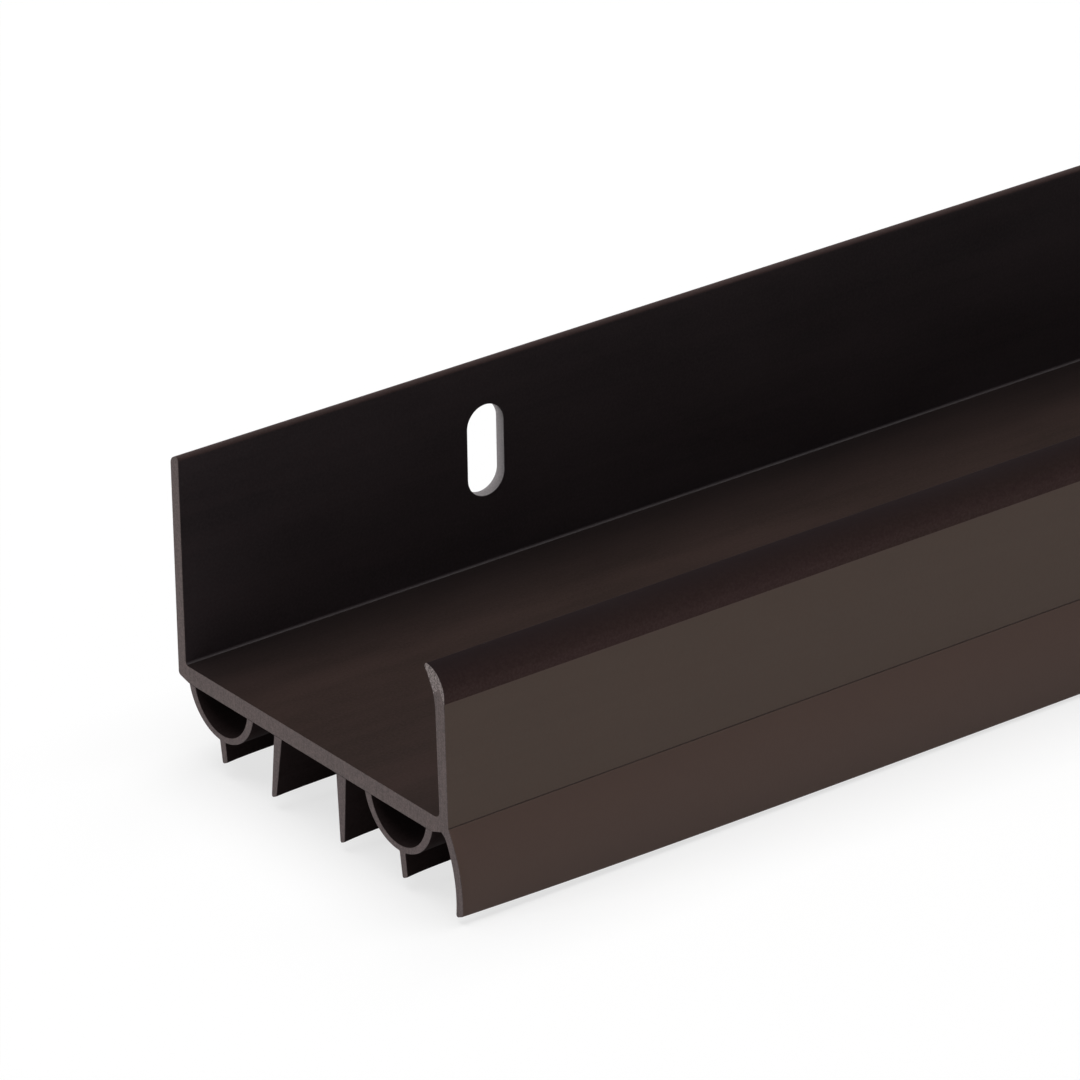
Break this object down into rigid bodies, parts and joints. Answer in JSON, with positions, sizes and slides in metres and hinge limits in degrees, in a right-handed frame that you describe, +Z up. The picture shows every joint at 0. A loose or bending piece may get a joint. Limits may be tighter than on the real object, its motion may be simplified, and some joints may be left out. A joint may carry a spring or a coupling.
{
  "type": "door bottom seal",
  "caption": "Slide-on door bottom seal: rigid U channel with a tall slotted rear flange, a lower front flange with a soft lip, a drip skirt, hollow bulbs and long fins below.",
  "frame": {"origin": "middle of the seat, the flat top of the web that the door's lower edge stands over, halfway along the strip", "axes": "+X along the strip, +Y from the front face towards the slotted rear flange, +Z up, out of the channel's mouth"},
  "size_m": [0.9144, 0.0505, 0.0348],
  "materials": {
    "rigid_plastic": "satin, dark brown, dyed through",
    "soft_plastic_lip": "matte, very dark brown",
    "soft_plastic_drip": "satin, reddish dark brown",
    "soft_plastic_seal": "matte, near black brown"
  },
  "bodies": {
    "root": {"channel": "rigid_plastic", "door_lip": "soft_plastic_lip", "drip_edge": "soft_plastic_drip", "rear_bulb": "soft_plastic_seal", "rear_fin": "soft_plastic_seal", "front_fin": "soft_plastic_seal", "front_bulb": "soft_plastic_seal"}
  },
  "joints": []
}
